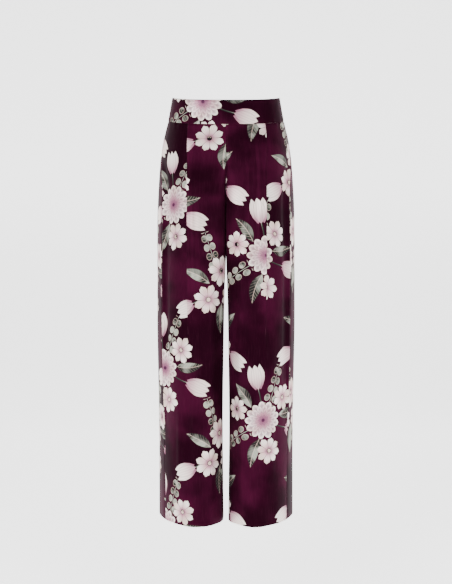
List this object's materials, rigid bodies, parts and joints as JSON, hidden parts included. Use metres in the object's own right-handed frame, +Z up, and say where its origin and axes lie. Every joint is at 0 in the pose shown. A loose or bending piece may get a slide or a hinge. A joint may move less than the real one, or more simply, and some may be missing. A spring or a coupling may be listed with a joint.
{
  "type": "palazzo trousers",
  "caption": "High-waisted wide-leg trousers in floral satin with a plain shaped waistband, a knife pleat on each front and a concealed back zip, hollow as worn",
  "frame": {"origin": "centre of the waistband's ring, halfway up the band, where the wearer's waist holds it", "axes": "+Z up, the front faces -Y, the wearer's left leg is at +X"},
  "size_m": [0.346, 0.2577, 1.0472],
  "materials": {
    "satin_print": "smooth satin with a large floral print on plum",
    "zip_tape": "matt woven tape",
    "zip_metal": "plum enamel on metal"
  },
  "bodies": {
    "trousers": {"front_left": "satin_print", "front_right": "satin_print", "back_left": "satin_print", "back_right": "satin_print", "waistband_front": "satin_print", "waistband_back_left": "satin_print", "waistband_back_right": "satin_print", "zip_tape": "zip_tape", "zip_slider": "zip_metal"},
    "zip_pull": {"zip_pull": "zip_metal"}
  },
  "joints": [
    {"name": "zip_pull_swing", "type": "hinge", "parent": "trousers", "child": "zip_pull", "pos_m": [0, 0.0863, 0.0165], "axis": [1, 0, 0], "range_deg": [0, 165]}
  ]
}
